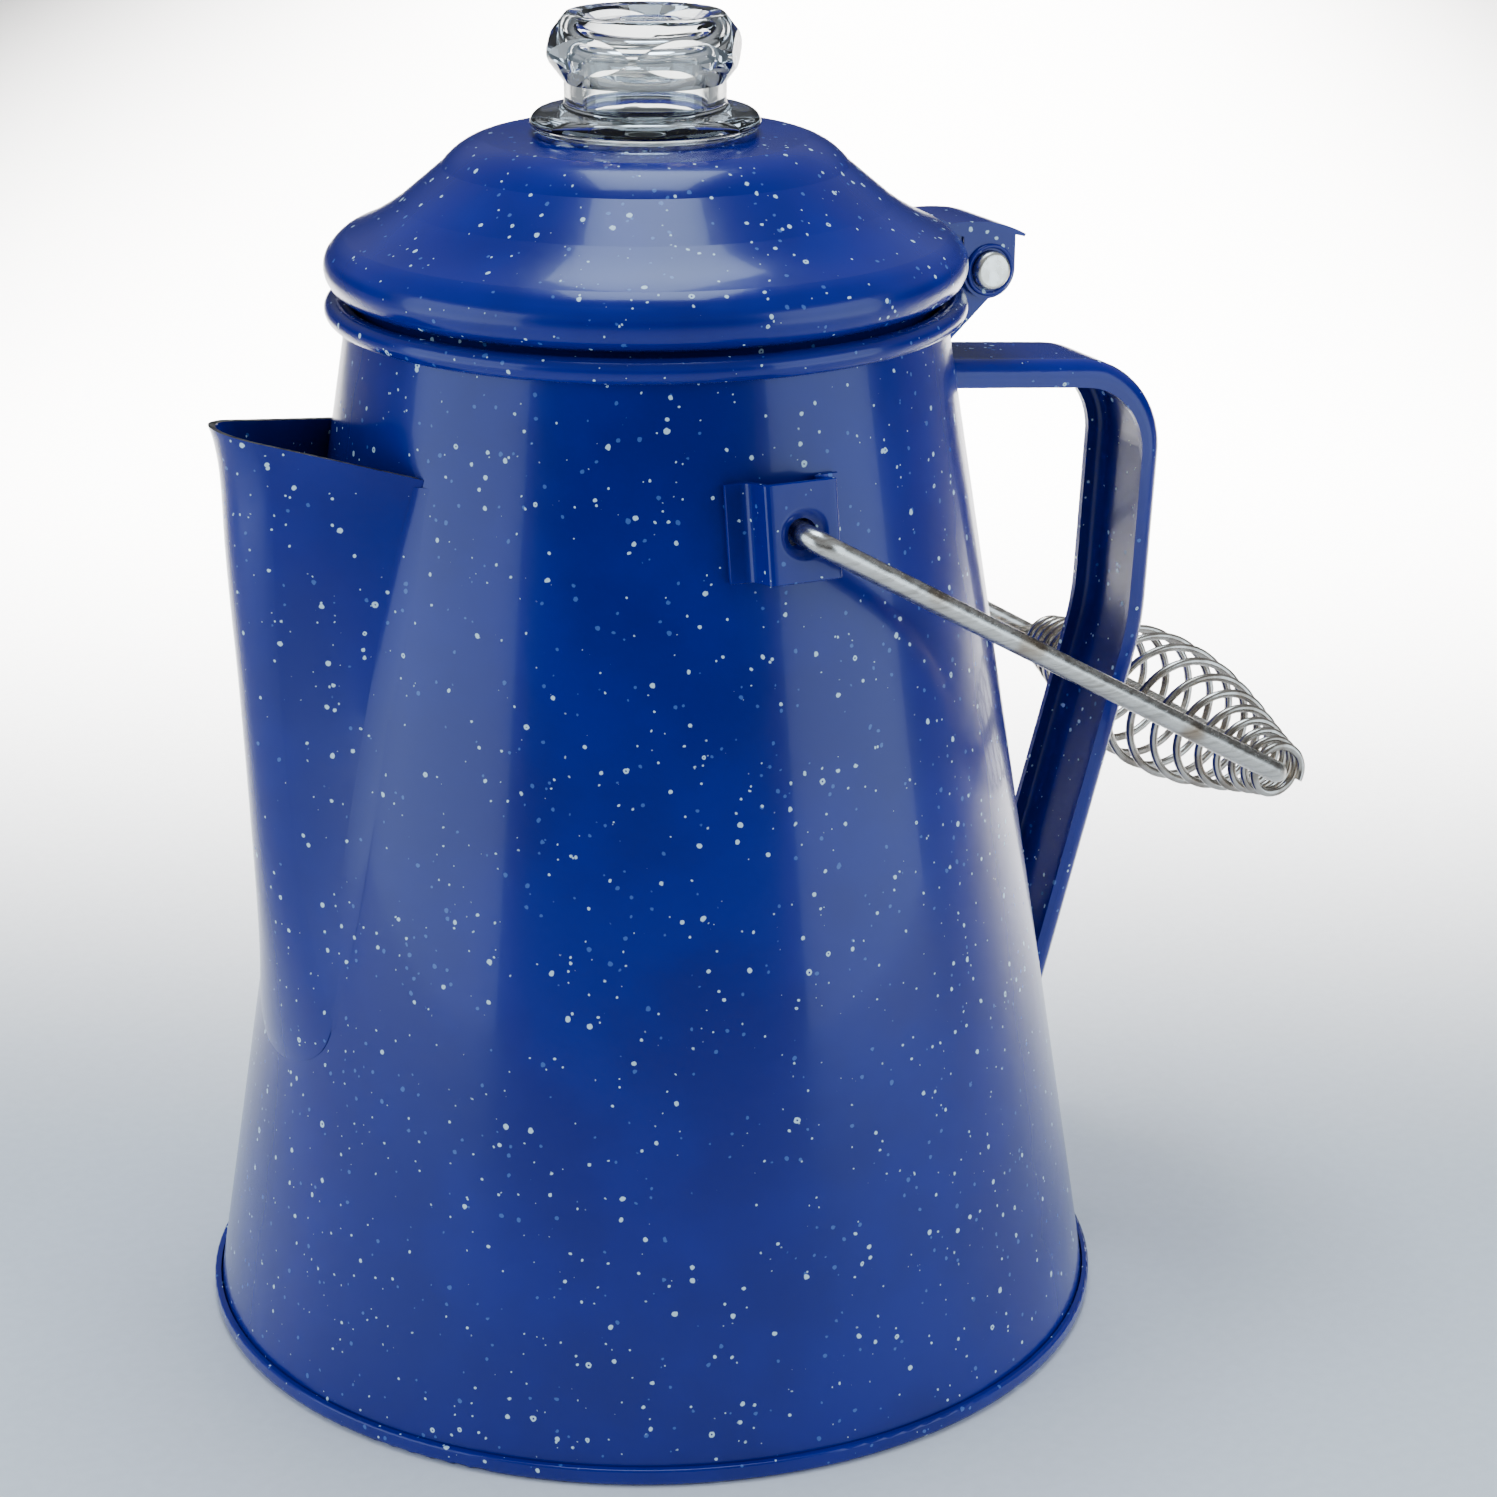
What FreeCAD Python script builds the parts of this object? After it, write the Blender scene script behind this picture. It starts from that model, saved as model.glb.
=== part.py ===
import FreeCAD, Part
import math
import os
import Sketcher

# Enamelled steel camping percolator, about twelve cups, in millimetres.
# Frame: +Z up, origin on the table at the pot's centre. The spout points to -X, the strap handle
# and the lid hinge are on the +X side, and the bail turns about a Y axis through the two side lugs.

SIZES = {
    # pot wall and foot
    "wall": 1.2,
    "cone_foot_r": 85.01,
    "cone_taper": 0.1624,
    "flare_top_z": 7.0,
    "flare_r": 84.8,
    "foot_r": 86.0,
    "foot_seam": 1.2,
    "foot_hem_z": 3.4,
    "floor_z": 4.0,
    "floor_edge_r": 78.5,
    "rim_z": 192.5,
    "bead_r": 55.6,
    "bead_wire": 2.2,
    "mouth_r": 52.5,
    # strainer behind the spout
    "strainer_hole_r": 2.3,
    "strainer_low_z": 92.0,
    "strainer_step_z": 12.0,
    "strainer_step_y": 9.0,
    # spout
    "spout_ridge_x": 72.5,
    "spout_ridge_lean": 0.0467,
    "spout_lip_flare": 2.2,
    "spout_half_w": 20.6,
    "spout_half_w_grow": 4.1,
    "spout_angle_top": 32.0,
    "spout_angle_grow": 30.0,
    "spout_toe_r": 45.0,
    "spout_tip_z": 177.6,
    "spout_edge_z": 170.7,
    "spout_edge_x": 51.7,
    # strap handle
    "strap_w": 22.0,
    "strap_depth": 5.0,
    "strap_sheet": 1.3,
    "strap_corner": 3.5,
    "strap_top_z": 178.9,
    "strap_out_x": 104.4,
    "strap_out_z": 173.9,
    "strap_knee_x": 101.7,
    "strap_knee_z": 121.1,
    "strap_low_x": 78.4,
    "strap_low_z": 37.2,
    "strap_bend_r": 19.0,
    "strap_knee_r": 55.0,
    # bail lugs
    "lug_z": 165.1,
    "lug_plate_off": 8.4,
    "lug_plate_w": 13.4,
    "lug_flange_w": 20.8,
    "lug_tall": 16.6,
    "lug_sheet": 1.3,
    "lug_hole_r": 2.6,
    # bail and grip
    "weld_gap": 0.08,
    "bail_z": 166.0,
    "bail_rest_deg": 30.5,
    "bail_wire_r": 2.0,
    "bail_side_y": 71.8,
    "bail_inner_y": 61.2,
    "bail_reach": 127.0,
    "bail_grip_y": 48.3,
    "bail_bend_r": 3.6,
    "bail_head_r": 3.3,
    "bail_head_t": 1.4,
    "grip_half": 45.6,
    "grip_wire_r": 0.8,
    "grip_end_r": 4.7,
    "grip_mid_r": 13.05,
    "grip_turns": 18,
    "grip_pitch_swing": 0.5,
    "grip_hang_x": 1.55,
    "grip_hang_z": -0.43,
    # hinge
    "hinge_x": 65.2,
    "hinge_z": 194.5,
    "hinge_pin_r": 2.0,
    "hinge_play": 0.05,
    "hinge_head_r": 3.6,
    "hinge_head_t": 1.7,
    "bracket_half_w": 7.3,
    "bracket_sheet": 1.2,
    "leaf_half_w": 8.8,
    "leaf_sheet": 1.1,
    "leaf_gap": 0.3,
    # lid
    "lid_sheet": 1.1,
    "lid_roll_r": 4.7,
    "lid_roll_mid_r": 53.0,
    "lid_roll_z": 200.0,
    "lid_hole_r": 14.0,
    "lid_top_z": 223.2,
    "skirt_r": 51.9,
    "skirt_low_z": 186.5,
    "skirt_top_z": 197.4,
    # glass knob
    "knob_seat_gap": 0.2,
    "knob_flange_r": 20.5,
    "knob_neck_r": 14.4,
    "knob_crown_r": 18.4,
    "knob_crown_z": 237.6,
    "knob_top_r": 13.4,
    "knob_top_z": 244.0,
    "knob_bore_r": 11.2,
    "knob_collar_r": 13.4,
    "knob_ear_r": 15.7,
    "knob_flat": 16.3,
    # pump
    "tube_r": 4.0,
    "tube_bore_r": 3.4,
    "tube_low_z": 9.0,
    "tube_top_z": 218.6,
    "bell_r": 33.0,
    "bell_low_z": 5.6,
    "stop_r": 6.6,
    "stop_z": 116.0,
    "stop_t": 3.6,
    # basket
    "basket_low_z": 120.0,
    "basket_tall": 56.0,
    "basket_r": 45.0,
    "basket_sheet": 0.8,
    "basket_rim_r": 46.4,
    "sleeve_bore_r": 4.35,
    "sleeve_r": 5.3,
    "sleeve_over": 1.6,
    "spreader_hole_r": 6.2,
    "basket_hole_r": 1.2,
}

doc = FreeCAD.newDocument("percolator")


def make_sheet():
    sheet = doc.addObject("Spreadsheet::Sheet", "Sizes")
    for row, (alias, value) in enumerate(SIZES.items(), start=1):
        sheet.set(f"A{row}", alias)
        sheet.set(f"B{row}", str(value))
        sheet.setAlias(f"B{row}", alias)
    doc.recompute()
    return sheet


def refresh(*items):
    """Recompute just these objects."""
    doc.recompute(list(items))


class Dim:
    """A size in mm: its number now, and the sheet expression that it comes from."""

    def __init__(self, value, text=None):
        self.value = float(value)
        self.text = text or repr(float(value))

    def __add__(self, other):
        other = dim(other)
        return Dim(self.value + other.value, f"({self.text} + {other.text})")

    def __sub__(self, other):
        other = dim(other)
        return Dim(self.value - other.value, f"({self.text} - {other.text})")

    def __mul__(self, other):
        other = dim(other)
        return Dim(self.value * other.value, f"({self.text} * {other.text})")

    def __truediv__(self, other):
        other = dim(other)
        return Dim(self.value / other.value, f"({self.text} / {other.text})")

    def __neg__(self):
        return Dim(-self.value, f"(-1 * {self.text})")

    __radd__ = __add__
    __rmul__ = __mul__

    def __rsub__(self, other):
        return dim(other) - self


def dim(number):
    return number if isinstance(number, Dim) else Dim(number)


class Sheet:
    """Attribute access to the sheet's cells, as Dim values."""

    def __init__(self, sheet):
        self.sheet = sheet

    def __getattr__(self, alias):
        return Dim(self.sheet.get(alias), f"Sizes.{alias}")


S = Sheet(make_sheet())


def cosine(degrees):
    degrees = dim(degrees)
    return Dim(math.cos(math.radians(degrees.value)), f"cos({degrees.text} * 1 deg)")


def sine(degrees):
    degrees = dim(degrees)
    return Dim(math.sin(math.radians(degrees.value)), f"sin({degrees.text} * 1 deg)")


def root(number):
    return Dim(math.sqrt(number.value), f"sqrt({number.text})")


def cone_r(height):
    """Outer radius of the pot's wall at a height."""
    return S.cone_foot_r - S.cone_taper * height


# ---------------------------------------------------------------- sketches and features

def new_body(label):
    body = doc.addObject("PartDesign::Body", label)
    body.Label = label
    return body


def origin_plane(body, role):
    for feature in body.Origin.OriginFeatures:
        if feature.Role == role:
            return feature
    raise ValueError(role)


def new_sketch(body, name, role, offset=None):
    sketch = body.newObject("Sketcher::SketchObject", name)
    sketch.AttachmentSupport = [(origin_plane(body, role), "")]
    sketch.MapMode = "FlatFace"
    if offset is not None:
        sketch.AttachmentOffset = FreeCAD.Placement(
            FreeCAD.Vector(0, 0, offset.value), FreeCAD.Rotation())
        sketch.setExpression("AttachmentOffset.Base.z", offset.text)
    return sketch


def bind_point(sketch, geometry, position, point):
    """Hold one end of a line or arc at a point given by two sizes."""
    for kind, size in zip(("DistanceX", "DistanceY"), point):
        index = sketch.addConstraint(
            Sketcher.Constraint(kind, geometry, position, size.value))
        sketch.setExpression(f"Constraints[{index}]", size.text)


def arc_between(start, end, radius, ccw, major):
    """Circle centre and angles of an arc of a given radius between two points."""
    chord = end - start
    half = chord.Length / 2
    left = FreeCAD.Vector(-chord.y, chord.x, 0).normalize()
    rise = math.sqrt(max(radius * radius - half * half, 0.0))
    side = 1.0 if ccw != major else -1.0
    centre = (start + end) * 0.5 + left * (rise * side)
    first, last = (start, end) if ccw else (end, start)
    angles = [math.atan2(p.y - centre.y, p.x - centre.x) for p in (first, last)]
    circle = Part.Circle(centre, FreeCAD.Vector(0, 0, 1), radius)
    return Part.ArcOfCircle(circle, angles[0], angles[1])


class Arc:
    """Marks the edge that leaves a corner as an arc."""

    def __init__(self, radius, ccw=True, major=False):
        self.radius = dim(radius)
        self.ccw = ccw
        self.major = major


def outline(body, name, role, steps, closed=True, offset=None):
    """A sketch through corners; an Arc between two corners curves the edge between them."""
    corners = [tuple(dim(c) for c in step) for step in steps if not isinstance(step, Arc)]
    arcs = {}
    count = -1
    for step in steps:
        if isinstance(step, Arc):
            arcs[count] = step
        else:
            count += 1
    sketch = new_sketch(body, name, role, offset)
    spots = [FreeCAD.Vector(x.value, y.value, 0) for x, y in corners]
    edges = len(corners) if closed else len(corners) - 1
    ends = []
    for i in range(edges):
        start, end = spots[i], spots[(i + 1) % len(spots)]
        arc = arcs.get(i)
        if arc is None:
            geometry = sketch.addGeometry(Part.LineSegment(start, end), False)
            ends.append((geometry, 1, 2))
        else:
            shape = arc_between(start, end, arc.radius.value, arc.ccw, arc.major)
            geometry = sketch.addGeometry(shape, False)
            ends.append((geometry, 1, 2) if arc.ccw else (geometry, 2, 1))
            index = sketch.addConstraint(
                Sketcher.Constraint("Radius", geometry, arc.radius.value))
            sketch.setExpression(f"Constraints[{index}]", arc.radius.text)
    for i in range(edges):
        geometry, start_end, last_end = ends[i]
        bind_point(sketch, geometry, start_end, corners[i])
        if closed or i + 1 < edges:
            following = ends[(i + 1) % edges]
            sketch.addConstraint(Sketcher.Constraint(
                "Coincident", geometry, last_end, following[0], following[1]))
        else:
            bind_point(sketch, geometry, last_end, corners[i + 1])
    refresh(sketch)
    return sketch


def circles(body, name, role, spots, offset=None):
    """A sketch of circles, each given as (x, y, radius)."""
    sketch = new_sketch(body, name, role, offset)
    for x, y, radius in spots:
        x, y, radius = dim(x), dim(y), dim(radius)
        centre = FreeCAD.Vector(x.value, y.value, 0)
        circle = Part.Circle(centre, FreeCAD.Vector(0, 0, 1), radius.value)
        geometry = sketch.addGeometry(circle, False)
        bind_point(sketch, geometry, 3, (x, y))
        index = sketch.addConstraint(Sketcher.Constraint("Radius", geometry, radius.value))
        sketch.setExpression(f"Constraints[{index}]", radius.text)
    refresh(sketch)
    return sketch


def revolve(body, name, sketch, kind="Revolution"):
    feature = body.newObject(f"PartDesign::{kind}", name)
    feature.Profile = sketch
    feature.ReferenceAxis = (sketch, ["V_Axis"])
    feature.Angle = 360.0
    refresh(feature, body)
    return feature


def lathe(label, steps):
    """A turned or spun piece: one closed outline revolved about Z."""
    body = new_body(label)
    sketch = outline(body, f"{label}_outline", "XZ_Plane", steps)
    revolve(body, f"{label}_turned", sketch)
    return body


def extrude(body, name, sketch, length, kind="Pad", symmetric=False, reverse=False):
    length = dim(length)
    before = body.Shape.Volume if kind == "Pocket" else 0.0
    feature = body.newObject(f"PartDesign::{kind}", name)
    feature.Profile = sketch
    feature.Length = length.value
    feature.setExpression("Length", length.text)
    feature.SideType = "Symmetric" if symmetric else "One side"
    feature.Reversed = reverse
    refresh(feature, body)
    if kind == "Pocket" and body.Shape.Volume > before - 0.01:
        raise ValueError(f"{name} cut nothing")
    return feature


def polar(body, name, originals, occurrences, sketch):
    feature = body.newObject("PartDesign::PolarPattern", name)
    feature.Originals = originals
    feature.Axis = (sketch, ["N_Axis"])
    feature.Angle = 360.0
    feature.Occurrences = occurrences
    body.Tip = feature
    refresh(feature, body)
    return feature


def boolean(label, kind, base, tool):
    feature = doc.addObject(f"Part::{kind}", label)
    feature.Label = label
    feature.Base = base
    feature.Tool = tool
    refresh(feature)
    return feature


# ---------------------------------------------------------------- pot

def make_cone_tool():
    """The pot's outside and the enamel on it as a cone, for trimming what is welded on."""
    low, tall = Dim(-6.0), Dim(206.0)
    tool = doc.addObject("Part::Cone", "pot_cone_tool")
    tool.setExpression("Radius1", (cone_r(low) + S.weld_gap).text)
    tool.setExpression("Radius2", (cone_r(low + tall) + S.weld_gap).text)
    tool.setExpression("Height", tall.text)
    tool.Placement = FreeCAD.Placement(FreeCAD.Vector(0, 0, low.value), FreeCAD.Rotation())
    refresh(tool)
    return tool


def make_pot_shell():
    neck = S.bead_wire * 0.70711
    body = lathe("pot_shell", [
        (cone_r(S.flare_top_z), S.flare_top_z),
        (S.bead_r - neck, S.rim_z - neck),
        Arc(S.bead_wire, ccw=True, major=True),
        (S.bead_r, S.rim_z + S.bead_wire),
        Arc(3.4),
        (S.mouth_r, S.rim_z - 0.8),
        (cone_r(S.flare_top_z) - S.wall, S.flare_top_z + 0.6),
        (S.flare_r - S.wall, S.foot_seam),
        (S.flare_r, S.foot_seam),
    ])
    spots = []
    for row in range(6):
        z = S.strainer_low_z + S.strainer_step_z * row
        for column in (-1, 0, 1):
            spots.append((S.strainer_step_y * column, z, S.strainer_hole_r))
    sketch = circles(body, "strainer_sketch", "YZ_Plane", spots)
    extrude(body, "strainer_holes", sketch, S.foot_r, kind="Pocket")
    return body


def make_pot_base():
    seam = S.foot_seam
    return lathe("pot_base", [
        (0, S.floor_z),
        (S.floor_edge_r, S.floor_z),
        (S.floor_edge_r + 2.6, 0),
        (S.foot_r - 1.4, 0),
        Arc(1.4),
        (S.foot_r, 1.4),
        (S.foot_r, S.foot_hem_z - 0.5),
        Arc(0.5),
        (S.foot_r - 0.5, S.foot_hem_z),
        (S.flare_r, S.foot_hem_z),
        (S.flare_r, seam),
        (S.floor_edge_r + 3.6, seam),
        (S.floor_edge_r + 0.8, S.floor_z + seam),
        (0, S.floor_z + seam),
    ])


SPOUT_HEIGHTS = (56.0, 71.0, 90.0, 112.0, 135.0, 158.0, 172.0, 180.0)


def spout_nose_x(height):
    return S.spout_ridge_x + S.spout_ridge_lean * height


def spout_shape(height):
    """Nose radius and flank angle of the V at a height, from its width where it meets the wall."""
    rise = max(height - SPOUT_HEIGHTS[1], 0.0) / 100.0
    fall = min(max(SPOUT_HEIGHTS[-2] - height, 0.0) / 101.0, 1.0)
    angle = S.spout_angle_top + S.spout_angle_grow * fall ** 1.35
    if height < SPOUT_HEIGHTS[1]:
        return S.spout_toe_r, angle
    half_w = S.spout_half_w + S.spout_half_w_grow * rise ** 2
    wall_r = cone_r(height)
    meet_x = root(wall_r * wall_r - half_w * half_w)
    deep = spout_nose_x(height) - meet_x
    nose_r = (half_w * cosine(angle) - deep * sine(angle)) / (1.0 - sine(angle))
    return nose_r, angle


def spout_section(body, name, height, inset):
    """One V section of the spout: a round nose and two flanks that end inside the pot."""
    nose_r, angle = spout_shape(height)
    flare = S.spout_lip_flare if height > SPOUT_HEIGHTS[-2] else Dim(0)
    centre = nose_r - spout_nose_x(height) - flare
    radius = nose_r - inset
    touch_x = centre - radius * sine(angle)
    touch_y = radius * cosine(angle)
    end_x = -cone_r(height) * 0.83
    end_y = touch_y + (end_x - touch_x) * sine(angle) / cosine(angle)
    return outline(body, name, "XY_Plane", [
        (end_x, end_y),
        (touch_x, touch_y),
        Arc(radius),
        (touch_x, -touch_y),
        (end_x, -end_y),
    ], offset=Dim(height))


def spout_loft(body, name, kind, inset):
    sketches = [
        spout_section(body, f"{name}_{i}", height, inset)
        for i, height in enumerate(SPOUT_HEIGHTS)
    ]
    loft = body.newObject(f"PartDesign::{kind}", name)
    loft.Profile = sketches[0]
    loft.Sections = sketches[1:]
    loft.Ruled = False
    refresh(loft, body)


def make_spout(cone):
    body = new_body("spout_sheet")
    spout_loft(body, "spout_outside", "AdditiveLoft", Dim(0))
    spout_loft(body, "spout_inside", "SubtractiveLoft", S.wall)
    nose_x = spout_nose_x(S.spout_tip_z) + S.spout_lip_flare
    slope = (S.spout_tip_z - S.spout_edge_z) / (nose_x - S.spout_edge_x)
    far_x = Dim(110)
    sketch = outline(body, "spout_trim_sketch", "XZ_Plane", [
        (0, 200),
        (-far_x, 200),
        (-far_x, S.spout_edge_z + slope * (far_x - S.spout_edge_x)),
        (0, S.spout_edge_z - slope * S.spout_edge_x),
    ])
    extrude(body, "spout_trim", sketch, 120, kind="Pocket", symmetric=True)
    return boolean("spout", "Cut", body, cone)


def make_rear_handle(cone):
    body = new_body("handle_strap")
    start_x = Dim(50)
    slope = (S.strap_top_z - S.strap_out_z) / (S.strap_out_x - start_x)
    path = outline(body, "handle_path", "XZ_Plane", handle_path(start_x), closed=False)
    half, deep, sheet, bend = S.strap_w / 2, S.strap_depth, S.strap_sheet, S.strap_corner
    top = S.strap_top_z
    section = outline(body, "handle_section", "YZ_Plane", [
        (-half, top - deep),
        (-half + sheet, top - deep),
        (-half + sheet, top - bend),
        Arc(bend - sheet, ccw=False),
        (-half + bend, top - sheet),
        (half - bend, top - sheet),
        Arc(bend - sheet, ccw=False),
        (half - sheet, top - bend),
        (half - sheet, top - deep),
        (half, top - deep),
        (half, top - bend),
        Arc(bend, ccw=True),
        (half - bend, top),
        (-half + bend, top),
        Arc(bend, ccw=True),
        (-half, top - bend),
    ], offset=start_x)
    pipe = body.newObject("PartDesign::AdditivePipe", "handle_sweep")
    pipe.Profile = section
    pipe.Spine = path
    pipe.Mode = "Frenet"
    refresh(pipe, body)
    return boolean("rear_handle", "Cut", body, cone)


def fillet_corner(before, corner, after, radius):
    """The two tangent points of a rounded corner, and whether it turns left."""
    def unit(a, b):
        dx, dz = b[0].value - a[0].value, b[1].value - a[1].value
        size = math.hypot(dx, dz)
        return dx / size, dz / size
    ux, uz = unit(corner, before)
    vx, vz = unit(corner, after)
    half = math.acos(ux * vx + uz * vz) / 2
    reach = radius / math.tan(half)
    first = (corner[0] + reach * ux, corner[1] + reach * uz)
    last = (corner[0] + reach * vx, corner[1] + reach * vz)
    return first, last, (-ux * vz + uz * vx) > 0


def handle_path(start_x):
    start = (start_x, S.strap_top_z)
    top = (S.strap_out_x, S.strap_out_z)
    knee = (S.strap_knee_x, S.strap_knee_z)
    end = (S.strap_low_x, S.strap_low_z)
    top_in, top_out, top_left = fillet_corner(start, top, knee, S.strap_bend_r)
    knee_in, knee_out, knee_left = fillet_corner(top, knee, end, S.strap_knee_r)
    return [
        start,
        top_in,
        Arc(S.strap_bend_r, ccw=top_left),
        top_out,
        knee_in,
        Arc(S.strap_knee_r, ccw=knee_left),
        knee_out,
        end,
    ]


def make_bail_lug(label, yaw, cone):
    """Hat-shaped bracket, its plate standing off the wall, laid along the cone."""
    body = new_body(f"{label}_sheet")
    sheet, plate, flange = S.lug_sheet, S.lug_plate_w / 2, S.lug_flange_w / 2
    off = S.lug_plate_off
    soft = Dim(1.0)
    section = outline(body, f"{label}_section", "XY_Plane", [
        (-flange, 1.2),
        (-flange, -sheet),
        (-plate - soft, -sheet),
        Arc(soft, ccw=False),
        (-plate, -sheet - soft),
        (-plate, -off + soft),
        Arc(soft),
        (-plate + soft, -off),
        (plate - soft, -off),
        Arc(soft),
        (plate, -off + soft),
        (plate, -sheet - soft),
        Arc(soft, ccw=False),
        (plate + soft, -sheet),
        (flange, -sheet),
        (flange, 1.2),
        (plate - sheet, 1.2),
        (plate - sheet, -off + sheet),
        (-plate + sheet, -off + sheet),
        (-plate + sheet, 1.2),
    ])
    extrude(body, f"{label}_bent", section, S.lug_tall, symmetric=True)
    drop = S.bail_z - S.lug_z - (off - sheet / 2) * S.cone_taper
    hole = circles(body, f"{label}_hole_sketch", "XZ_Plane", [(0, drop, S.lug_hole_r)])
    extrude(body, f"{label}_hole", hole, off * 2, kind="Pocket", symmetric=True)
    lean = math.degrees(math.atan(S.cone_taper.value))
    turn = FreeCAD.Rotation(FreeCAD.Vector(0, 0, 1), yaw)
    turn = turn.multiply(FreeCAD.Rotation(FreeCAD.Vector(1, 0, 0), -lean))
    spot = FreeCAD.Rotation(FreeCAD.Vector(0, 0, 1), yaw).multVec(
        FreeCAD.Vector(0, -cone_r(S.lug_z).value, S.lug_z.value))
    body.Placement = FreeCAD.Placement(spot, turn)
    refresh(body)
    return boolean(label, "Cut", body, cone)


# ---------------------------------------------------------------- hinge

def make_hinge_bracket(cone):
    """Two ears on a plate under the rim bead, reaching out and up to the pin."""
    body = new_body("hinge_bracket_sheet")
    x, z = S.hinge_x, S.hinge_z
    lobe = Dim(4.8)
    side = outline(body, "bracket_side", "XZ_Plane", [
        (50, 181.6),
        (58.2, 181.6),
        (x + lobe * 0.70711, z - lobe * 0.70711),
        Arc(lobe, ccw=True, major=True),
        (x - lobe, z),
        (58.5, 189.7),
        (50, 189.7),
    ])
    extrude(body, "bracket_block", side, S.bracket_half_w * 2, symmetric=True)
    inside = outline(body, "bracket_inside", "XZ_Plane", [
        (56.6, 180),
        (80, 180),
        (80, 210),
        (56.6, 210),
    ])
    gap = (S.bracket_half_w - S.bracket_sheet) * 2
    extrude(body, "bracket_gap", inside, gap, kind="Pocket", symmetric=True)
    bore = circles(body, "bracket_bore_sketch", "XZ_Plane", [(x, z, S.hinge_pin_r)])
    extrude(body, "bracket_bore", bore, 40, kind="Pocket", symmetric=True)
    return boolean("hinge_bracket", "Cut", body, cone)


def make_hinge_pin():
    """Rivet pin across the hinge, with a peened head at each end."""
    body = new_body("hinge_pin")
    half = S.leaf_half_w + S.leaf_gap
    full = half + S.hinge_head_t
    soft = Dim(0.9)
    head, shaft = S.hinge_head_r, S.hinge_pin_r
    sketch = outline(body, "pin_outline", "XY_Plane", [
        (0, -full),
        (head - soft, -full),
        Arc(soft),
        (head, -full + soft),
        (head, -half),
        (shaft, -half),
        (shaft, half),
        (head, half),
        (head, full - soft),
        Arc(soft),
        (head - soft, full),
        (0, full),
    ])
    revolve(body, "pin_turned", sketch)
    body.setExpression("Placement.Base.x", S.hinge_x.text)
    body.setExpression("Placement.Base.z", S.hinge_z.text)
    refresh(body)
    return body


def make_lid_hinge_leaf(lid_tool):
    """Hood-shaped leaf: a web that ends in a thin tail, and an ear on each side of the pin."""
    body = new_body("leaf_sheet")
    x, z, sheet = S.hinge_x, S.hinge_z, S.leaf_sheet
    lobe = Dim(5.4)
    web = [(46.0, 208.6), (57.0, 203.7), (66.0, 203.2), (72.8, 200.6)]
    side = outline(body, "leaf_side", "XZ_Plane", [
        web[0],
        (46.0, 206.6),
        (x - lobe, 201.0),
        (x - lobe, z),
        Arc(lobe),
        (x, z - lobe),
        Arc(lobe),
        (x + lobe, z),
        (x + lobe, 200.6),
        (72.5, 200.1),
        web[3],
        Arc(24),
        web[2],
        Arc(40),
        web[1],
    ])
    extrude(body, "leaf_block", side, S.leaf_half_w * 2, symmetric=True)
    inside = outline(body, "leaf_inside", "XZ_Plane", [
        (40.0, 180.0),
        (90.0, 180.0),
        (90.0, 190.0),
        (73.5, 199.2),
        (66.0, 203.2 - sheet),
        Arc(39),
        (57.0, 203.7 - sheet),
        (40.0, 210.3),
    ])
    gap = (S.leaf_half_w - sheet) * 2
    extrude(body, "leaf_gap", inside, gap, kind="Pocket", symmetric=True)
    bore = circles(body, "leaf_bore_sketch", "XZ_Plane",
                   [(x, z, S.hinge_pin_r + S.hinge_play)])
    extrude(body, "leaf_bore", bore, 40, kind="Pocket", symmetric=True)
    return boolean("lid_hinge_leaf", "Cut", body, lid_tool)


# ---------------------------------------------------------------- lid

def lid_outside():
    """The dome's outer line, from the rolled lower edge up to the flat round the knob hole."""
    corner = S.lid_roll_r * 0.70711
    return [
        (S.skirt_r, S.lid_roll_z - S.lid_roll_r),
        (S.lid_roll_mid_r, S.lid_roll_z - S.lid_roll_r),
        Arc(S.lid_roll_r),
        (S.lid_roll_mid_r + corner, S.lid_roll_z + corner),
        Arc(7.0),
        (54.0, 205.4),
        Arc(42.0, ccw=False),
        (44.2, 211.0),
        (36.4, 217.5),
        Arc(13.0),
        (29.0, 222.3),
        (S.lid_hole_r, S.lid_top_z),
    ]


def make_lid_shell():
    sheet = S.lid_sheet
    inner_roll = S.lid_roll_r - sheet
    corner = inner_roll * 0.70711
    body = lathe("lid_shell", lid_outside() + [
        (S.lid_hole_r, S.lid_top_z - sheet),
        (28.8, 222.3 - sheet),
        Arc(11.9, ccw=False),
        (35.7, 216.65),
        (43.5, 210.15),
        Arc(43.1),
        (53.4, 204.45),
        Arc(5.9, ccw=False),
        (S.lid_roll_mid_r + corner, S.lid_roll_z + corner),
        Arc(inner_roll, ccw=False),
        (S.lid_roll_mid_r, S.lid_roll_z - inner_roll),
        (S.skirt_r, S.lid_roll_z - inner_roll),
    ])
    notch_r = S.knob_ear_r + 0.5
    notch = outline(body, "lid_notch_sketch", "XY_Plane", [
        (-notch_r, -3.2),
        (notch_r, -3.2),
        (notch_r, 3.2),
        (-notch_r, 3.2),
    ], offset=S.lid_top_z - 6)
    extrude(body, "lid_notches", notch, 12, kind="Pocket", reverse=True)
    return body


def make_lid_tool():
    """The dome as a solid, for trimming the hinge leaf."""
    return lathe("lid_tool", [(0, 190), (S.skirt_r, 190)] + lid_outside() + [(0, S.lid_top_z)])


def make_lid_skirt():
    inner = S.skirt_r - S.lid_sheet
    return lathe("lid_skirt", [
        (inner, S.skirt_low_z),
        (S.skirt_r, S.skirt_low_z),
        (S.skirt_r, S.skirt_top_z),
        (inner, S.skirt_top_z),
    ])


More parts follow.
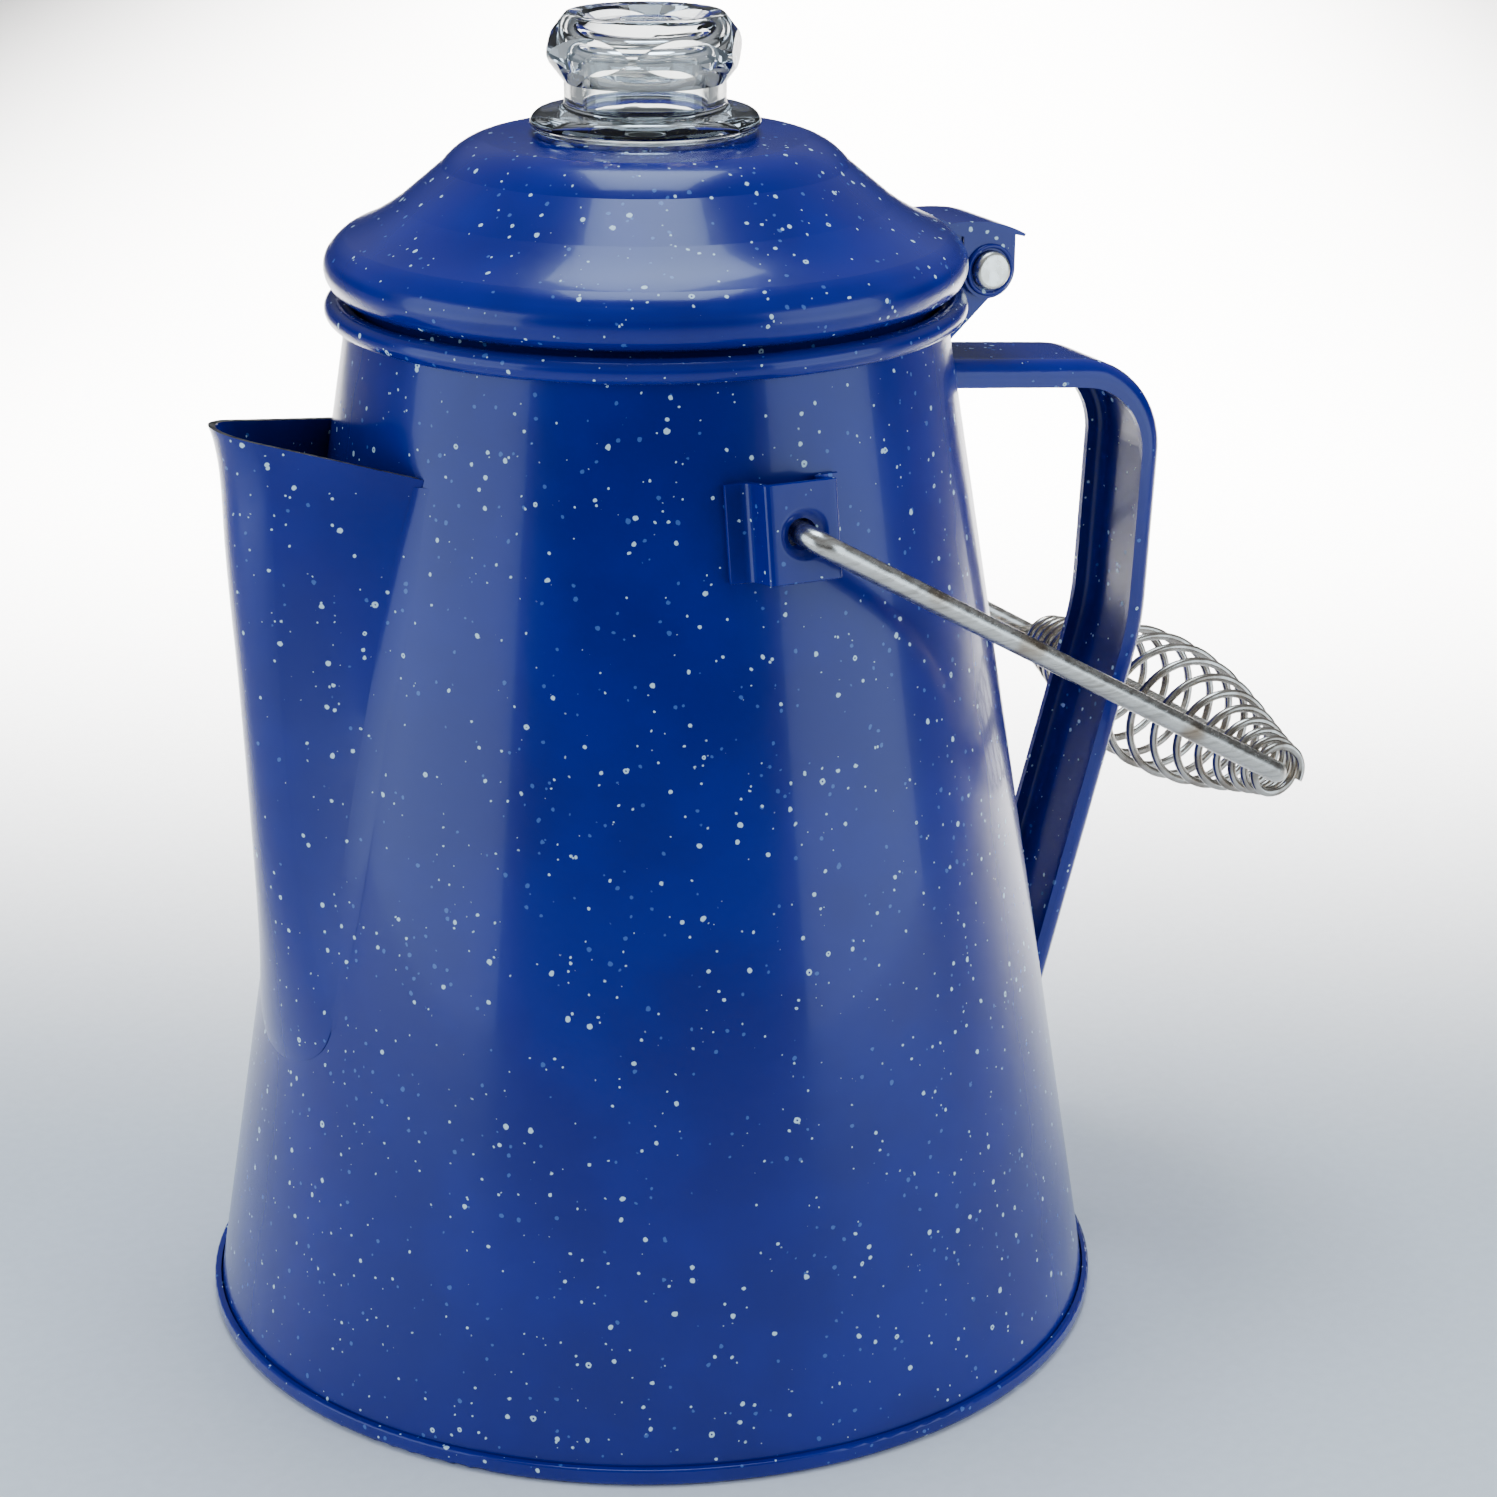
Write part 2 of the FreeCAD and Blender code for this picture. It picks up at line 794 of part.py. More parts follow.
def make_glass_knob():
    """Hollow pressed-glass knob: flange, neck, faceted crown, and a collar with two ears."""
    seat = S.lid_top_z + S.knob_seat_gap
    flange_t = Dim(3.6)
    body = lathe("glass_knob", [
        (S.knob_bore_r, S.lid_top_z - 6.4),
        (S.knob_collar_r, S.lid_top_z - 6.4),
        (S.knob_collar_r, seat),
        (S.knob_flange_r - 1.5, seat),
        Arc(1.5),
        (S.knob_flange_r, seat + 1.5),
        Arc(2.4),
        (S.knob_flange_r - 2.4, seat + flange_t),
        (S.knob_neck_r + 1.2, seat + flange_t + 0.3),
        Arc(1.3, ccw=False),
        (S.knob_neck_r, seat + flange_t + 1.6),
        (S.knob_neck_r, S.knob_crown_z - 5.6),
        (S.knob_crown_r - 0.6, S.knob_crown_z - 1.2),
        Arc(1.6),
        (S.knob_crown_r - 0.5, S.knob_crown_z + 1.3),
        (S.knob_top_r + 1.0, S.knob_top_z - 0.6),
        Arc(1.2),
        (S.knob_top_r, S.knob_top_z),
        (S.knob_top_r - 1.4, S.knob_top_z - 0.4),
        (S.knob_top_r - 3.0, S.knob_top_z - 2.0),
        (0, S.knob_top_z - 2.0),
        (0, S.knob_top_z - 5.0),
        (S.knob_bore_r - 3.0, S.knob_top_z - 5.0),
        Arc(3.0, ccw=False),
        (S.knob_bore_r, S.knob_top_z - 8.0),
    ])
    add_knob_facets(body)
    add_knob_ears(body)
    return body


def add_knob_facets(body):
    reach = Dim(24)
    flat = outline(body, "knob_facet_sketch", "XY_Plane", [
        (S.knob_flat, -reach),
        (reach, -reach),
        (reach, reach),
        (S.knob_flat, reach),
    ], offset=S.knob_crown_z - 5.6)
    cut = extrude(body, "knob_facet", flat, 14, kind="Pocket", reverse=True)
    polar(body, "knob_facets", [cut], 6, flat)


def add_knob_ears(body):
    low = S.lid_top_z - S.lid_sheet - 3.1
    inner = S.knob_collar_r - 1.0
    ear = outline(body, "knob_ear_sketch", "XY_Plane", [
        (inner, -2.6),
        (S.knob_ear_r - 0.2, -2.6),
        Arc(S.knob_ear_r + 2.0),
        (S.knob_ear_r - 0.2, 2.6),
        (inner, 2.6),
    ], offset=low)
    pad = extrude(body, "knob_ear", ear, 2.6)
    polar(body, "knob_ears", [pad], 2, ear)
    body.Placement = FreeCAD.Placement(
        FreeCAD.Vector(0, 0, 0), FreeCAD.Rotation(FreeCAD.Vector(0, 0, 1), 90))
    refresh(body)


# ---------------------------------------------------------------- bail and grip

def make_bail_wire():
    """Round wire bail, drawn in its own plane and tipped down to its rest on the strap."""
    body = new_body("bail_wire")
    hook = (Dim(0), S.bail_side_y)
    corner = (S.bail_reach, S.bail_grip_y)
    inner = (Dim(0), S.bail_inner_y)
    mirror = (corner[0], -corner[1])
    hook_in, hook_out, _ = fillet_corner(inner, hook, corner, S.bail_bend_r)
    grip_in, grip_out, _ = fillet_corner(hook, corner, mirror, S.bail_bend_r)
    path = outline(body, "bail_path", "XY_Plane", [
        (inner[0], -inner[1]),
        (hook_in[0], -hook_in[1]),
        Arc(S.bail_bend_r),
        (hook_out[0], -hook_out[1]),
        (grip_in[0], -grip_in[1]),
        Arc(S.bail_bend_r),
        (grip_out[0], -grip_out[1]),
        grip_out,
        Arc(S.bail_bend_r),
        grip_in,
        hook_out,
        Arc(S.bail_bend_r),
        hook_in,
        inner,
    ], closed=False)
    section = circles(body, "bail_section", "XZ_Plane", [(0, 0, S.bail_wire_r)],
                      offset=S.bail_inner_y)
    pipe = body.newObject("PartDesign::AdditivePipe", "bail_sweep")
    pipe.Profile = section
    pipe.Spine = path
    pipe.Mode = "Standard"
    refresh(pipe, body)
    for name, offset, reverse in (("near", S.bail_inner_y, True), ("far", -S.bail_inner_y, False)):
        head = circles(body, f"bail_head_{name}_sketch", "XZ_Plane",
                       [(0, 0, S.bail_head_r)], offset=offset)
        extrude(body, f"bail_head_{name}", head, S.bail_head_t, reverse=reverse)
    body.Placement = FreeCAD.Placement(
        FreeCAD.Vector(0, 0, S.bail_z.value),
        FreeCAD.Rotation(FreeCAD.Vector(0, 1, 0), S.bail_rest_deg.value))
    body.setExpression("Placement.Base.z", S.bail_z.text)
    body.setExpression("Placement.Rotation.Angle", S.bail_rest_deg.text)
    refresh(body)
    return body


def make_grip_coil():
    """Barrel of springy wire, closer wound towards its ends. It lies on the strap, so its end
    rings hang a little to one side of the bail wire that runs through them."""
    turns, half = int(S.grip_turns.value), S.grip_half.value
    steps = 16
    points = []
    for i in range(turns * steps + 1):
        phase = 2.0 * i / (turns * steps) - 1.0
        swing = S.grip_pitch_swing.value * math.sin(math.pi * phase) / math.pi
        y = half * (phase + swing)
        bulge = max(0.0, math.cos(math.pi * y / (2 * half))) ** 1.25
        radius = S.grip_end_r.value + (S.grip_mid_r.value - S.grip_end_r.value) * bulge
        angle = 2 * math.pi * i / steps
        points.append(FreeCAD.Vector(radius * math.cos(angle), y, radius * math.sin(angle)))
    curve = Part.BSplineCurve()
    curve.interpolate(points)
    spine = Part.Wire(curve.toShape())
    tangent = curve.tangent(curve.FirstParameter)[0]
    ring = Part.Wire(Part.Circle(points[0], tangent, S.grip_wire_r.value).toShape())
    coil = doc.addObject("Part::Feature", "grip_coil")
    coil.Label = "grip_coil"
    coil.Shape = spine.makePipeShell([ring], True, True)
    tip = math.radians(S.bail_rest_deg.value)
    centre_x = S.bail_reach.value * math.cos(tip) + S.grip_hang_x.value
    centre_z = S.bail_z.value - S.bail_reach.value * math.sin(tip) + S.grip_hang_z.value
    coil.Placement = FreeCAD.Placement(
        FreeCAD.Vector(centre_x, 0, centre_z),
        FreeCAD.Rotation(FreeCAD.Vector(0, 1, 0), S.bail_rest_deg.value))
    refresh(coil)
    return coil


# ---------------------------------------------------------------- pump and basket

def make_pump():
    tube = lathe("pump_tube", [
        (S.tube_bore_r, S.tube_low_z),
        (S.tube_r, S.tube_low_z),
        (S.tube_r, S.tube_top_z),
        (S.tube_bore_r, S.tube_top_z),
    ])
    low = S.bell_low_z
    bell = lathe("pump_bell", [
        (S.bell_r - 1.0, low),
        (S.bell_r, low),
        (S.bell_r, low + 1.4),
        (10.0, low + 10.0),
        (S.tube_r + 1.0, low + 13.0),
        (S.tube_r + 1.0, low + 20.0),
        (S.tube_r, low + 20.0),
        (S.tube_r, low + 12.2),
        (9.4, low + 9.1),
        (S.bell_r - 1.0, low + 0.6),
    ])
    stop = lathe("basket_stop", [
        (S.tube_r, S.stop_z),
        (S.stop_r - 1.2, S.stop_z),
        (S.stop_r, S.stop_z + 1.2),
        (S.stop_r, S.stop_z + S.stop_t),
        (S.tube_r, S.stop_z + S.stop_t),
    ])
    return [tube, bell, stop]


def pierce(body, name, rings, plane_z):
    """Rings of small drain holes, each ring one hole and a polar pattern."""
    for ring, (radius, count) in enumerate(rings):
        sketch = circles(body, f"{name}_{ring}_sketch", "XY_Plane",
                         [(radius, 0, S.basket_hole_r)], offset=plane_z)
        hole = extrude(body, f"{name}_{ring}", sketch, 6, kind="Pocket", reverse=True)
        polar(body, f"{name}_{ring}_pattern", [hole], count, sketch)


def make_basket():
    low, top = S.basket_low_z, S.basket_low_z + S.basket_tall
    sheet, wall_r = S.basket_sheet, S.basket_r
    soft = Dim(4.0)
    cup = lathe("basket_cup", [
        (S.sleeve_r, low + 1.0),
        (wall_r - soft, low + 1.0),
        Arc(soft),
        (wall_r, low + 1.0 + soft),
        (wall_r, top - 1.2),
        (S.basket_rim_r, top - 1.2),
        (S.basket_rim_r, top),
        (wall_r - sheet, top),
        (wall_r - sheet, low + 1.0 + soft),
        Arc(soft - sheet, ccw=False),
        (wall_r - soft, low + 1.0 + sheet),
        (S.sleeve_r, low + 1.0 + sheet),
    ])
    pierce(cup, "drain", [(12.0, 10), (20.0, 16), (28.0, 22), (36.0, 28)], low - 1)
    sleeve = lathe("basket_sleeve", [
        (S.sleeve_bore_r, low),
        (S.sleeve_r, low),
        (S.sleeve_r, top + S.sleeve_over),
        (S.sleeve_bore_r, top + S.sleeve_over),
    ])
    return [cup, sleeve]


def make_basket_lid():
    top = S.basket_low_z + S.basket_tall
    sheet, rim = S.basket_sheet, S.basket_rim_r
    low = top + 0.3
    lid = lathe("basket_lid", [
        (S.spreader_hole_r, low + 1.2),
        (S.spreader_hole_r + 2.0, low),
        (rim - 2.6, low),
        (rim - 1.0, low + 2.4),
        (rim, low + 2.4),
        (rim, low + 2.4 + sheet),
        (rim - 1.6, low + 2.4 + sheet),
        (rim - 3.2, low + sheet),
        (S.spreader_hole_r + 2.4, low + sheet),
        (S.spreader_hole_r, low + 1.2 + sheet),
    ])
    pierce(lid, "spread", [(14.0, 12), (22.0, 18), (30.0, 24), (38.0, 30)], low - 1)
    return lid


# ---------------------------------------------------------------- the assembly

def build():
    cone = make_cone_tool()
    lid_tool = make_lid_tool()
    pieces = [make_pot_shell(), make_pot_base(), make_spout(cone), make_rear_handle(cone)]
    pieces.append(make_bail_lug("bail_lug_left", 0, cone))
    pieces.append(make_bail_lug("bail_lug_right", 180, cone))
    pieces += [make_hinge_bracket(cone), make_hinge_pin()]
    pieces += [make_lid_shell(), make_lid_skirt(), make_lid_hinge_leaf(lid_tool)]
    pieces += [make_glass_knob(), make_bail_wire(), make_grip_coil()]
    pieces += make_pump() + make_basket()
    pieces.append(make_basket_lid())
    return pieces


def check(pieces):
    for item in doc.Objects:
        if "Invalid" in item.State or "Error" in item.State:
            raise ValueError(f"{item.Label} failed: {item.State}")
    for piece in pieces:
        if piece.Shape.isNull() or not piece.Shape.isValid():
            raise ValueError(f"{piece.Label} has no valid shape")


def export(pieces):
    os.makedirs("parts", exist_ok=True)
    for piece in pieces:
        piece.Shape.exportStep(f"parts/{piece.Label}.step")
        box = piece.Shape.BoundBox
        print(f"{piece.Label:18s} {piece.Shape.Volume:10.1f} solids {len(piece.Shape.Solids)}",
              f"x {box.XMin:.1f} {box.XMax:.1f} y {box.YMin:.1f} {box.YMax:.1f}",
              f"z {box.ZMin:.1f} {box.ZMax:.1f}")


pieces = build()
doc.recompute()
check(pieces)
export(pieces)
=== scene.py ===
import math
import bmesh
import bpy
from mathutils import Matrix, Vector


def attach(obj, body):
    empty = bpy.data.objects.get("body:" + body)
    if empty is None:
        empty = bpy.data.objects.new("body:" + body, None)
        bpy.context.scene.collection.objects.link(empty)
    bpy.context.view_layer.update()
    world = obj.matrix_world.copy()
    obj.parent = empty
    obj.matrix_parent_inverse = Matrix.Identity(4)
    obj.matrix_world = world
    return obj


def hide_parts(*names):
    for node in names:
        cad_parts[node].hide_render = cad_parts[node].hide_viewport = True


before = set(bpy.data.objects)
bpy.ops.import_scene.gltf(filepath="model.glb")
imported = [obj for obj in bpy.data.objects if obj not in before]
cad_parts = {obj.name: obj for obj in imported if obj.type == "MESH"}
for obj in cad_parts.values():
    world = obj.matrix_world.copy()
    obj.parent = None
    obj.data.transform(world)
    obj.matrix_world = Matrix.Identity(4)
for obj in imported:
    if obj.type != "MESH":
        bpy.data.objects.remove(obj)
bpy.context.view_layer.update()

MM = 0.001


# ================================================================ mesh helpers

def vec(x, y, z):
    """A point given in millimetres, in metres."""
    return Vector((x * MM, y * MM, z * MM))


def make_piece(name, verts, faces, material, body, nodes=(), sharp=40.0):
    """A mesh in the row frame, riding on a body, standing for the CAD nodes that it names."""
    mesh = bpy.data.meshes.new(name)
    mesh.from_pydata([tuple(v) for v in verts], [], faces)
    mesh.validate()
    mesh.update()
    piece = bpy.data.objects.new(name, mesh)
    bpy.context.scene.collection.objects.link(piece)
    piece.data.materials.append(material)
    for polygon in mesh.polygons:
        polygon.use_smooth = True
    mesh.set_sharp_from_angle(angle=math.radians(sharp))
    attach(piece, body)
    if nodes:
        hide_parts(*nodes)
    return piece


def arc(cx, cy, radius, start_deg, end_deg, steps=8):
    """Points of an arc, both ends included."""
    points = []
    for i in range(steps + 1):
        angle = math.radians(start_deg + (end_deg - start_deg) * i / steps)
        points.append((cx + radius * math.cos(angle), cy + radius * math.sin(angle)))
    return points


def rounded(points, radii, steps):
    """An open polyline whose corners are rounded with circular arcs; a radius of 0 leaves a point."""
    out = []
    for i, (x, y) in enumerate(points):
        radius = radii[i]
        if radius <= 0:
            out.append((x, y))
            continue
        here = Vector((x, y))
        before = Vector(points[i - 1]) - here
        after = Vector(points[i + 1]) - here
        half = before.angle(after) / 2
        reach = min(radius / math.tan(half), before.length * 0.49, after.length * 0.49)
        radius = reach * math.tan(half)
        first = here + before.normalized() * reach
        last = here + after.normalized() * reach
        inward = (before.normalized() + after.normalized()).normalized()
        middle = here + inward * (radius / math.sin(half))
        start = math.atan2(first.y - middle.y, first.x - middle.x)
        end = math.atan2(last.y - middle.y, last.x - middle.x)
        turn = (end - start + math.pi) % (2 * math.pi) - math.pi
        for k in range(steps + 1):
            angle = start + turn * k / steps
            out.append((middle.x + radius * math.cos(angle), middle.y + radius * math.sin(angle)))
    return out


def lathe(profile, steps, closed=True):
    """Verts and faces of a profile of (radius, height) turned about Z; a point on the axis is a fan."""
    verts = []
    rings = []
    for radius, height in profile:
        if radius < 1e-6:
            rings.append([len(verts)] * steps)
            verts.append(vec(0, 0, height))
            continue
        rings.append(list(range(len(verts), len(verts) + steps)))
        for k in range(steps):
            angle = 2 * math.pi * k / steps
            verts.append(vec(radius * math.cos(angle), radius * math.sin(angle), height))
    faces = []
    last = len(rings) if closed else len(rings) - 1
    for i in range(last):
        ring = rings[i]
        after = rings[(i + 1) % len(rings)]
        for k in range(steps):
            m = (k + 1) % steps
            corners = list(dict.fromkeys([ring[k], ring[m], after[m], after[k]]))
            if len(corners) > 2:
                faces.append(corners)
    return verts, faces


def loft(sections):
    """Skin over rings that all have the same number of points, with a cap at each end."""
    verts = [v for section in sections for v in section]
    size = len(sections[0])
    faces = []
    for i in range(len(sections) - 1):
        for k in range(size):
            m = (k + 1) % size
            faces.append([i * size + k, i * size + m, (i + 1) * size + m, (i + 1) * size + k])
    faces.append(list(range(size))[::-1])
    faces.append([(len(sections) - 1) * size + k for k in range(size)])
    return verts, faces


def join(*parts):
    """Several (verts, faces) pairs as one."""
    verts = []
    faces = []
    for some_verts, some_faces in parts:
        base = len(verts)
        verts += some_verts
        faces += [[base + i for i in face] for face in some_faces]
    return verts, faces


# ================================================================ material helpers

def new_material(name):
    """A material, its node tree and its Principled shader."""
    material = bpy.data.materials.new(name)
    material.use_nodes = True
    tree = material.node_tree
    shader = tree.nodes["Principled BSDF"]
    return material, tree, shader


def node(tree, kind, **values):
    """A node with some of its sockets or settings given a value."""
    made = tree.nodes.new(kind)
    for key, value in values.items():
        if key in made.inputs:
            made.inputs[key].default_value = value
        else:
            setattr(made, key, value)
    return made


def math_node(tree, operation, *values, clamp=False):
    """The result of a Math node; each value is a number or another node's output."""
    made = tree.nodes.new("ShaderNodeMath")
    made.operation = operation
    made.use_clamp = clamp
    for socket, value in zip(made.inputs, values):
        if isinstance(value, (int, float)):
            socket.default_value = value
        else:
            tree.links.new(value, socket)
    return made.outputs[0]


def ramp(tree, value, stops):
    """A colour ramp with eased steps; a stop is a place from 0 to 1 and a colour."""
    made = tree.nodes.new("ShaderNodeValToRGB")
    made.color_ramp.interpolation = "EASE"
    elements = made.color_ramp.elements
    while len(elements) < len(stops):
        elements.new(0.5)
    for element, (place, colour) in zip(elements, stops):
        element.position = place
        element.color = (*colour, 1.0)
    tree.links.new(value, made.inputs["Fac"])
    return made.outputs["Color"]


def grey(value):
    """A number as a colour, for a ramp that feeds a number socket."""
    return (value, value, value)


def mix(tree, factor, a, b, blend="MIX"):
    """One colour over another; a factor or colour is a value or another node's output."""
    made = tree.nodes.new("ShaderNodeMix")
    made.data_type = "RGBA"
    made.blend_type = blend
    for socket, value in ((made.inputs[0], factor), (made.inputs[6], a), (made.inputs[7], b)):
        if isinstance(value, (tuple, list)):
            socket.default_value = (*value, 1.0)
        elif isinstance(value, (int, float)):
            socket.default_value = value
        else:
            tree.links.new(value, socket)
    return made.outputs[2]


def coordinates(tree, scale=(1, 1, 1), turn=(0, 0, 0)):
    """Places on the object in metres, scaled and turned."""
    place = tree.nodes.new("ShaderNodeTexCoord")
    mapping = tree.nodes.new("ShaderNodeMapping")
    mapping.inputs["Scale"].default_value = scale
    mapping.inputs["Rotation"].default_value = turn
    tree.links.new(place.outputs["Object"], mapping.inputs["Vector"])
    return mapping.outputs["Vector"]


def noise(tree, vector, scale, detail=3.0, rough=0.5, output="Fac"):
    """Noise with scale waves to the metre."""
    made = node(tree, "ShaderNodeTexNoise", Scale=scale, Detail=detail, Roughness=rough)
    tree.links.new(vector, made.inputs["Vector"])
    return made.outputs[output]


def bump(tree, shader, height, strength, distance):
    """Relief of a depth in metres on the shader."""
    made = node(tree, "ShaderNodeBump", Strength=strength, Distance=distance)
    tree.links.new(height, made.inputs["Height"])
    tree.links.new(made.outputs["Normal"], shader.inputs["Normal"])


def settings(shader, **values):
    """Constants on the shader's own sockets; an underscore in a name stands for a space."""
    for key, value in values.items():
        shader.inputs[key.replace("_", " ")].default_value = value


# ---------------------------------------------------------------- enamel

ENAMEL_DEEP = (0.0003, 0.0040, 0.180)
ENAMEL_LIGHT = (0.0004, 0.0070, 0.225)
SPECK_WHITE = (0.66, 0.86, 0.95)
SPECK_BLUE = (0.10, 0.23, 0.62)
SPECK_WOBBLE = 0.00055            # metres that fine noise pushes a speck's edge about
SPECK_SOFTNESS = 0.09             # millimetres over which a speck's edge fades
SMALLEST_SPECK = 0.4              # as a share of the largest
RING_HOLLOW = 0.42                # radius of the hollow in a ring-shaped speck, as a share of its own


def wobbled(tree, vector):
    """Coordinates pushed about by fine noise, so the specks are not round."""
    fine = noise(tree, vector, 900.0, 2.0, output="Color")
    add = tree.nodes.new("ShaderNodeVectorMath")
    add.operation = "MULTIPLY_ADD"
    tree.links.new(fine, add.inputs[0])
    add.inputs[1].default_value = (SPECK_WOBBLE, SPECK_WOBBLE, SPECK_WOBBLE)
    tree.links.new(vector, add.inputs[2])
    return add.outputs[0]


def specks(tree, vector, cell, radius, keep, seed, ring=False):
    """Mask of specks up to a radius in mm, one in each kept cell of a Voronoi pattern sized in mm."""
    moved = tree.nodes.new("ShaderNodeVectorMath")
    moved.operation = "ADD"
    moved.inputs[1].default_value = (seed, seed * 0.7, seed * 1.3)
    tree.links.new(vector, moved.inputs[0])
    cells = node(tree, "ShaderNodeTexVoronoi", Scale=1.0 / (cell * MM))
    tree.links.new(moved.outputs[0], cells.inputs["Vector"])
    parts = tree.nodes.new("ShaderNodeSeparateColor")
    tree.links.new(cells.outputs["Color"], parts.inputs["Color"])
    share = math_node(tree, "MULTIPLY_ADD", parts.outputs["Red"], 1.0 - SMALLEST_SPECK, SMALLEST_SPECK)
    edge = math_node(tree, "MULTIPLY", share, radius / cell)
    inside = math_node(tree, "SUBTRACT", edge, cells.outputs["Distance"])
    mask = math_node(tree, "MULTIPLY", inside, cell / SPECK_SOFTNESS, clamp=True)
    kept = math_node(tree, "LESS_THAN", parts.outputs["Green"], keep)
    mask = math_node(tree, "MULTIPLY", mask, kept)
    if ring:
        hollow = math_node(tree, "MULTIPLY", edge, RING_HOLLOW)
        hollow = math_node(tree, "SUBTRACT", hollow, cells.outputs["Distance"])
        hollow = math_node(tree, "MULTIPLY", hollow, cell / SPECK_SOFTNESS, clamp=True)
        mask = math_node(tree, "SUBTRACT", mask, hollow, clamp=True)
    return mask


def make_enamel(name, white=1.0, painted_shade=1.0):
    """Glossy cobalt enamel with white specks on it and fainter blue ones drowned in it."""
    material, tree, shader = new_material(name)
    place = coordinates(tree)
    wobble = wobbled(tree, place)
    mottle = noise(tree, place, 38.0)
    # a value below 1 dims the enamel's blue to make a darker copy: painted shade, not a colour of its
    # own
    deep = [c * painted_shade for c in ENAMEL_DEEP]
    light = [c * painted_shade for c in ENAMEL_LIGHT]
    colour = ramp(tree, mottle, [(0.35, deep), (0.68, light)])
    faint = specks(tree, wobble, cell=2.7, radius=0.50, keep=0.66, seed=3.7)
    faint_strength = math_node(tree, "MULTIPLY", faint, 0.55)
    colour = mix(tree, faint_strength, colour, SPECK_BLUE)
    solid = specks(tree, wobble, cell=3.3, radius=0.56, keep=0.60, seed=11.3)
    small = specks(tree, wobble, cell=2.2, radius=0.30, keep=0.60, seed=23.9)
    rings = specks(tree, wobble, cell=4.6, radius=0.66, keep=0.55, seed=31.1, ring=True)
    spots = math_node(tree, "MAXIMUM", solid, small)
    spots = math_node(tree, "MAXIMUM", spots, rings)
    spots = math_node(tree, "MULTIPLY", spots, white)
    colour = mix(tree, spots, colour, SPECK_WHITE)
    tree.links.new(colour, shader.inputs["Base Color"])
    settings(shader, Roughness=0.24, IOR=1.38, Coat_Weight=0.25, Coat_IOR=1.45, Coat_Roughness=0.06)
    ripple = noise(tree, place, 140.0, 2.0)
    height = math_node(tree, "MULTIPLY_ADD", spots, 0.10, ripple)
    bump(tree, shader, height, 0.10, 0.0006)
    return material


# ---------------------------------------------------------------- metals and glass

def make_wire_steel(name, turn):
    """Satin drawn wire: fine lines along the wire, and a few darker rubbed marks."""
    material, tree, shader = new_material(name)
    along = coordinates(tree, scale=(22.0, 900.0, 900.0), turn=turn)
    lines = noise(tree, along, 1.0, 4.0, 0.65)
    marks = noise(tree, coordinates(tree), 60.0, 2.0)
    base = ramp(tree, lines, [(0.30, (0.40, 0.36, 0.31)), (0.58, (0.66, 0.62, 0.55))])
    dark = ramp(tree, marks, [(0.62, (1.0, 1.0, 1.0)), (0.74, (0.55, 0.45, 0.36))])
    tree.links.new(mix(tree, 1.0, base, dark, "MULTIPLY"), shader.inputs["Base Color"])
    rough = ramp(tree, lines, [(0.3, grey(0.22)), (0.7, grey(0.30))])
    tree.links.new(rough, shader.inputs["Roughness"])
    settings(shader, Metallic=1.0)
    bump(tree, shader, lines, 0.10, 0.00006)
    return material


def make_bright_steel(name):
    """Bright spring wire with warm dull patches."""
    material, tree, shader = new_material(name)
    place = coordinates(tree)
    patches = noise(tree, place, 210.0, 4.0)
    base = ramp(tree, patches, [(0.35, (0.30, 0.25, 0.20)), (0.65, (0.56, 0.51, 0.44))])
    tree.links.new(base, shader.inputs["Base Color"])
    rough = ramp(tree, patches, [(0.3, grey(0.28)), (0.7, grey(0.18))])
    tree.links.new(rough, shader.inputs["Roughness"])
    settings(shader, Metallic=1.0)
    fine = noise(tree, place, 2400.0, 2.0)
    bump(tree, shader, fine, 0.06, 0.00004)
    return material


def make_rivet_steel(name):
    """Peened rivet: bright, with small hammer dents."""
    material, tree, shader = new_material(name)
    place = coordinates(tree)
    dents = noise(tree, place, 520.0)
    base = ramp(tree, dents, [(0.3, (0.76, 0.70, 0.58)), (0.7, (0.90, 0.85, 0.74))])
    tree.links.new(base, shader.inputs["Base Color"])
    rough = ramp(tree, dents, [(0.3, grey(0.34)), (0.7, grey(0.22))])
    tree.links.new(rough, shader.inputs["Roughness"])
    settings(shader, Metallic=1.0)
    bump(tree, shader, dents, 0.25, 0.00025)
    return material


def make_bare_edge(name):
    """Bare, heat-darkened steel at a cut edge, with grey rubbed spots."""
    material, tree, shader = new_material(name)
    place = coordinates(tree)
    burn = noise(tree, place, 480.0, 4.0)
    base = ramp(tree, burn, [(0.38, (0.020, 0.014, 0.012)), (0.66, (0.17, 0.145, 0.115))])
    tree.links.new(base, shader.inputs["Base Color"])
    rough = ramp(tree, burn, [(0.3, grey(0.45)), (0.7, grey(0.28))])
    tree.links.new(rough, shader.inputs["Roughness"])
    settings(shader, Metallic=0.6)
    bump(tree, shader, burn, 0.4, 0.0002)
    return material


def make_glass(name):
    """Clear pressed glass, faintly green, with slow ripples from the mould."""
    material, tree, shader = new_material(name)
    place = coordinates(tree)
    ripple = noise(tree, place, 95.0, 2.0)
    tint = ramp(tree, ripple, [(0.3, (0.952, 0.985, 0.962)), (0.7, (0.985, 0.998, 0.990))])
    tree.links.new(tint, shader.inputs["Base Color"])
    settings(shader, Roughness=0.0, IOR=1.5, Transmission_Weight=1.0)
    bump(tree, shader, ripple, 0.14, 0.0006)
    return material


